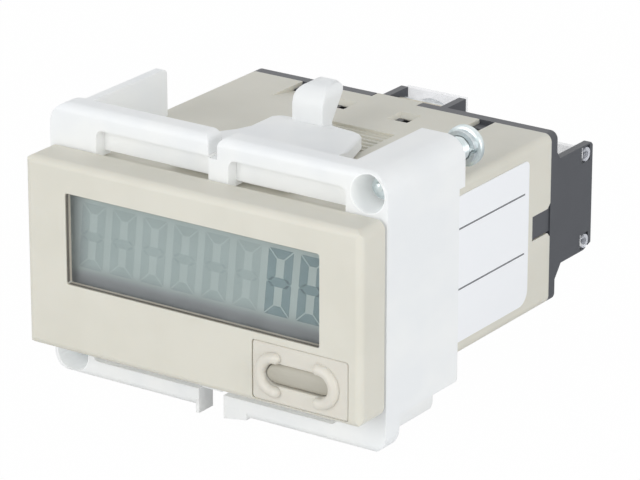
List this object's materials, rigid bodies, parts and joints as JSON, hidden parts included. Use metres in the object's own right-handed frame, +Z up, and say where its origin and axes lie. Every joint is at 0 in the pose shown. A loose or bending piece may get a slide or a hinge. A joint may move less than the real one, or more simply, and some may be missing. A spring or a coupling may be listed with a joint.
{
  "type": "electronic hour meter",
  "caption": "Panel-mount electronic hour meter: bezel and case with a liquid crystal display, guarded reset button, rear screw terminals under a cover, and a sliding mounting adapter.",
  "frame": {"origin": "centre of the bezel's rear face, in the plane where it seats on the panel", "axes": "+X to the right seen from the front, +Y into the panel, +Z up"},
  "size_m": [0.048, 0.0556, 0.0353],
  "materials": {
    "case_plastic": "fine moulded texture, satin",
    "window_plastic": "clear, polished",
    "display_glass": "polarising film over glass",
    "frame_plastic": "plain moulded",
    "contact_rubber": "soft, matt",
    "board_laminate": "solder resist, satin",
    "plate_plastic": "fine moulded texture, satin",
    "button_plastic": "satin",
    "switch_plastic": "plain moulded",
    "chip_resin": "moulded resin",
    "crystal_can": "drawn can",
    "capacitor_ceramic": "fired ceramic",
    "resistor_film": "film over ceramic",
    "header_plastic": "plain moulded",
    "cell_steel": "drawn steel can",
    "tab_nickel": "rolled nickel",
    "knob_plastic": "satin",
    "base_plastic": "moulded, satin",
    "terminal_metal": "tinned",
    "screw_zinc": "bright zinc plate",
    "cover_plastic": "translucent",
    "label_film": "satin film",
    "adapter_plastic": "natural nylon, slightly translucent",
    "clamp_zinc": "bright zinc plate",
    "spring_steel": "zinc plate"
  },
  "bodies": {
    "meter": {"housing": "case_plastic", "window_lens": "window_plastic", "lcd_panel": "display_glass", "lcd_frame": "frame_plastic", "contact_strips": "contact_rubber", "display_board": "board_laminate", "reset_plate": "plate_plastic", "push_switch": "switch_plastic", "main_board": "board_laminate", "input_board": "board_laminate", "controller_chip": "chip_resin", "clock_crystal": "crystal_can", "capacitors": "capacitor_ceramic", "resistors": "resistor_film", "input_coupler": "chip_resin", "front_header": "header_plastic", "rear_header": "header_plastic", "lithium_cell": "cell_steel", "cell_tabs": "tab_nickel", "protect_switch": "switch_plastic", "range_switch": "switch_plastic", "terminal_base": "base_plastic", "terminal_plates": "terminal_metal", "clamp_washers": "screw_zinc", "terminal_screws": "screw_zinc", "terminal_cover": "cover_plastic", "side_label": "label_film"},
    "reset_button": {"reset_button": "button_plastic", "switch_plunger": "knob_plastic"},
    "protect_knob": {"protect_knob": "knob_plastic"},
    "range_knob": {"range_knob": "knob_plastic"},
    "adapter": {"mounting_adapter": "adapter_plastic"},
    "clamp_screw_upper": {"clamp_screw_upper": "clamp_zinc", "spring_washer_upper": "spring_steel"},
    "clamp_screw_lower": {"clamp_screw_lower": "clamp_zinc", "spring_washer_lower": "spring_steel"}
  },
  "joints": [
    {"name": "reset_press", "type": "slide", "parent": "meter", "child": "reset_button", "axis": [0, 1, 0], "range_m": [0, 0.0003], "stiffness_N_per_m": 1500, "springref_m": -0.0003},
    {"name": "protect_slide", "type": "slide", "parent": "meter", "child": "protect_knob", "axis": [1, 0, 0], "range_m": [0, 0.0011]},
    {"name": "range_slide", "type": "slide", "parent": "meter", "child": "range_knob", "axis": [1, 0, 0], "range_m": [0, 0.0011]},
    {"name": "adapter_slide", "type": "slide", "parent": "meter", "child": "adapter", "axis": [0, 1, 0], "range_m": [0, 0.005]},
    {"name": "clamp_drive_upper", "type": "slide", "parent": "adapter", "child": "clamp_screw_upper", "axis": [0, -1, 0], "range_m": [-0.008, 0.0021]},
    {"name": "clamp_drive_lower", "type": "slide", "parent": "adapter", "child": "clamp_screw_lower", "axis": [0, -1, 0], "range_m": [-0.008, 0.0021]}
  ]
}
